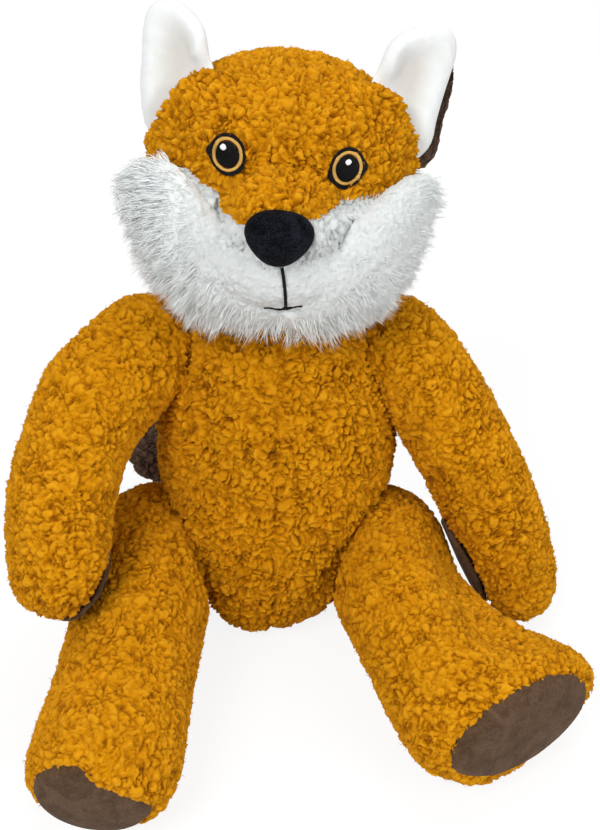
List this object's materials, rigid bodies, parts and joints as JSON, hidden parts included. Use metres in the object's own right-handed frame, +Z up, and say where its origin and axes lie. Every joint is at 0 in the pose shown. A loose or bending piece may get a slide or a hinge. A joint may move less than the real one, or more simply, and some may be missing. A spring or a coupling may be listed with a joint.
{
  "type": "plush fox",
  "caption": "Stuffed plush fox sitting upright, with golden curly fleece, white cheeks and ear linings, and brown soles and palms.",
  "frame": {"origin": "the middle of the flat seat under the torso, on the floor", "axes": "+Z up, the fox looks along -Y, and its own left is +X"},
  "size_m": [0.2491, 0.2633, 0.2846],
  "materials": {
    "golden_pile": "curly long-pile fleece, matt",
    "brown_pile": "curly long-pile fleece, matt",
    "brown_plush": "short smooth pile, soft sheen",
    "white_pile": "long straight fur, matt",
    "white_plush": "short smooth pile, soft sheen",
    "black_felt": "matt felt",
    "eye_thread": "embroidered, slight sheen",
    "mouth_thread": "matt stitched thread",
    "stuffing": "loose polyester fibre"
  },
  "bodies": {
    "torso": {"torso_cover_left": "golden_pile", "torso_cover_right": "golden_pile", "torso_stuffing": "stuffing"},
    "head": {"head_crown": "golden_pile", "head_stuffing": "stuffing", "muzzle": "white_pile", "nose": "black_felt", "cheek_ruff_left": "white_pile", "cheek_ruff_right": "white_pile", "eye_left": "eye_thread", "eye_right": "eye_thread", "mouth_stitch": "mouth_thread"},
    "ear_left": {"ear_left_lining": "white_plush", "ear_left_back": "brown_pile"},
    "ear_right": {"ear_right_lining": "white_plush", "ear_right_back": "brown_pile"},
    "arm_left": {"arm_left_cover": "golden_pile", "arm_left_stuffing": "stuffing", "palm_pad_left": "brown_plush"},
    "arm_right": {"arm_right_cover": "golden_pile", "arm_right_stuffing": "stuffing", "palm_pad_right": "brown_plush"},
    "leg_left": {"leg_left_cover": "golden_pile", "leg_left_stuffing": "stuffing", "sole_pad_left": "brown_plush"},
    "leg_right": {"leg_right_cover": "golden_pile", "leg_right_stuffing": "stuffing", "sole_pad_right": "brown_plush"},
    "tail": {"tail_cover": "golden_pile", "tail_tip": "brown_pile", "tail_stuffing": "stuffing"}
  },
  "joints": [
    {"name": "head_turn", "type": "hinge", "parent": "torso", "child": "head", "pos_m": [0.00555, 0.02805, 0.159], "axis": [0.0344, 0.1736, 0.9842], "range_deg": [-30, 30]},
    {"name": "arm_left_raise", "type": "hinge", "parent": "torso", "child": "arm_left", "pos_m": [-0.04993, 0.01911, 0.131], "axis": [0, 1, 0], "range_deg": [0, 60]},
    {"name": "arm_right_raise", "type": "hinge", "parent": "torso", "child": "arm_right", "pos_m": [0.05907, 0.01911, 0.131], "axis": [0, -1, 0], "range_deg": [0, 70]},
    {"name": "leg_left_swing", "type": "hinge", "parent": "torso", "child": "leg_left", "pos_m": [-0.053, -0.012, 0.04], "axis": [1, 0, 0], "range_deg": [0, 80]},
    {"name": "leg_right_swing", "type": "hinge", "parent": "torso", "child": "leg_right", "pos_m": [0.053, -0.012, 0.04], "axis": [1, 0, 0], "range_deg": [0, 80]},
    {"name": "ear_left_fold", "type": "hinge", "parent": "head", "child": "ear_left", "pos_m": [-0.03198, 0.02623, 0.24921], "axis": [0.6876, 0.1097, 0.7177], "range_deg": [-5, 45], "stiffness_Nm_per_rad": 0.02},
    {"name": "ear_right_fold", "type": "hinge", "parent": "head", "child": "ear_right", "pos_m": [0.05243, 0.02623, 0.24108], "axis": [0.538, -0.1097, -0.8358], "range_deg": [-5, 45], "stiffness_Nm_per_rad": 0.02},
    {"name": "tail_swing", "type": "hinge", "parent": "torso", "child": "tail", "pos_m": [0, 0.051, 0.0215], "axis": [0, 0, -1], "range_deg": [0, 35]}
  ]
}
